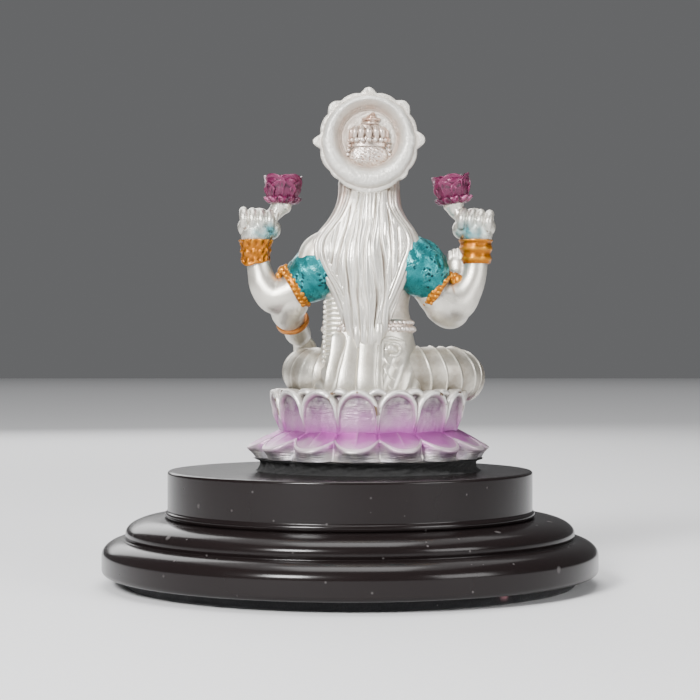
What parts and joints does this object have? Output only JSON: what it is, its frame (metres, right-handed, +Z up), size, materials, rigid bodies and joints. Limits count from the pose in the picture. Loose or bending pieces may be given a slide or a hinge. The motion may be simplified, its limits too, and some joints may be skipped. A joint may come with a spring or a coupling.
{
  "type": "deity statuette",
  "caption": "Seated four-armed deity statuette on a lotus seat, with a scalloped halo, raised flower buds and a stepped round plinth.",
  "frame": {"origin": "centre of the felt's underside, where the statuette stands on the table", "axes": "+Z up along the plinth's axis; the figure faces -Y and its left side is towards +X"},
  "size_m": [0.08, 0.08, 0.0799],
  "materials": {
    "black_felt": "short matt felt",
    "gloss_base": "high gloss, very dark brown",
    "black_pad": "matt foam pad",
    "lotus_pearl": "pearl white paint with a purple blush at the waist, on cast resin",
    "pearl_body": "pearl white paint with a satin sheen, on cast resin",
    "pearl_cloth": "pearl white paint, on cast resin",
    "silver_hair": "pearl silver paint, rubbed brighter on the strands",
    "crown_pearl": "pearl silver paint with a copper tint in the recesses",
    "teal_sleeve": "metallic teal paint with dark relief, on cast resin",
    "gold_trim": "gold paint, on cast resin",
    "magenta_petal": "metallic magenta paint, on cast resin"
  },
  "bodies": {
    "root": {"felt_pad": "black_felt", "stepped_base": "gloss_base", "plinth_drum": "gloss_base", "mounting_pad": "black_pad", "seat_core": "lotus_pearl", "lower_petals": "lotus_pearl", "upper_petals": "lotus_pearl", "hips": "pearl_cloth", "right_leg": "pearl_cloth", "left_leg": "pearl_cloth", "right_foot": "pearl_body", "left_foot": "pearl_body", "sash_tails": "pearl_cloth", "pleated_sash": "pearl_cloth", "front_drape": "pearl_cloth", "waist_belt": "crown_pearl", "torso": "pearl_body", "necklace": "gold_trim", "head": "pearl_body", "earrings": "gold_trim", "hair_fall": "silver_hair", "crown": "crown_pearl", "halo_ring": "crown_pearl", "halo_pin": "pearl_body", "left_sleeve": "teal_sleeve", "right_sleeve": "teal_sleeve", "left_armlet": "gold_trim", "right_armlet": "gold_trim", "left_rear_arm": "pearl_body", "right_rear_arm": "pearl_body", "left_wrist_cuff": "gold_trim", "right_wrist_cuff": "gold_trim", "left_rear_hand": "pearl_body", "right_rear_hand": "pearl_body", "left_bud_stem": "pearl_body", "right_bud_stem": "pearl_body", "left_bud_sepals": "magenta_petal", "right_bud_sepals": "magenta_petal", "left_bud": "magenta_petal", "right_bud": "magenta_petal", "left_front_arm": "pearl_body", "right_front_arm": "pearl_body", "left_front_bangle": "gold_trim", "right_front_bangle": "gold_trim", "left_front_hand": "pearl_body", "right_front_hand": "pearl_body"}
  },
  "joints": []
}
